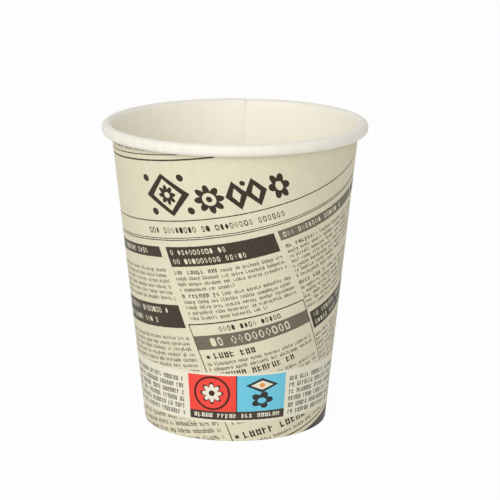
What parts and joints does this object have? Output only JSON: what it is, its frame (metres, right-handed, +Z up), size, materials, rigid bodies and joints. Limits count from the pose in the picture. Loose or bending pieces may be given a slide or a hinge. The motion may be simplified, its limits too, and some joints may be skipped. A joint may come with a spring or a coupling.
{
  "type": "paper cup",
  "caption": "Flat-bottomed tapered paper drinking cup with a rolled rim, a lapped side seam and a recessed base clamped by a folded foot.",
  "frame": {"origin": "centre of the circle that the cup stands on, on the standing plane", "axes": "+Z up along the cup's axis, the side seam at the back (+Y), the print's red and blue fields at the front (-Y)"},
  "size_m": [0.08, 0.08, 0.092],
  "materials": {
    "side_paper": "matte printed outside, coated white inside",
    "base_paper": "coated white board"
  },
  "bodies": {
    "root": {"side_wall": "side_paper", "base_disc": "base_paper"}
  },
  "joints": []
}
